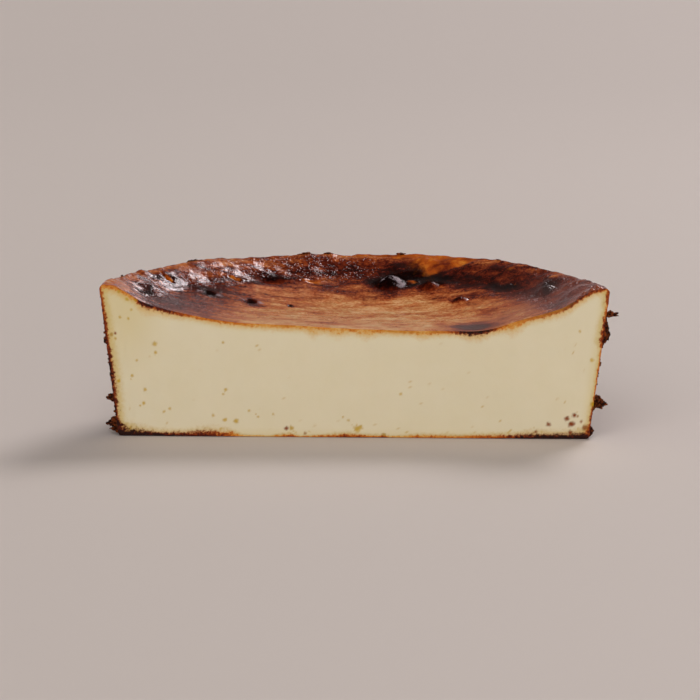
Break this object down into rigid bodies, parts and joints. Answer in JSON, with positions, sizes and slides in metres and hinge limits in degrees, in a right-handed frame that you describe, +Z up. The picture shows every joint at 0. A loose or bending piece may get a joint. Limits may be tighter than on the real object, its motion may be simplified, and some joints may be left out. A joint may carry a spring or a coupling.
{
  "type": "half of a round basque cheesecake",
  "caption": "Half of a round, burnt-top basque cheesecake: flat cut face, sunken blistered top, raised crusty rim, tapered side and flat base.",
  "frame": {"origin": "on the surface it stands on, under the middle of its box", "axes": "+X along the cut face, +Y from the cut face to the round back, +Z up"},
  "size_m": [0.2247, 0.1104, 0.0672],
  "materials": {
    "burnt_crust": "baked skin, moist and unevenly glossy, burnt dark brown at the rim",
    "baked_custard": "smooth pale cheese custard, knife cut, satin"
  },
  "bodies": {
    "root": {"cheesecake": "burnt_crust"}
  },
  "joints": []
}
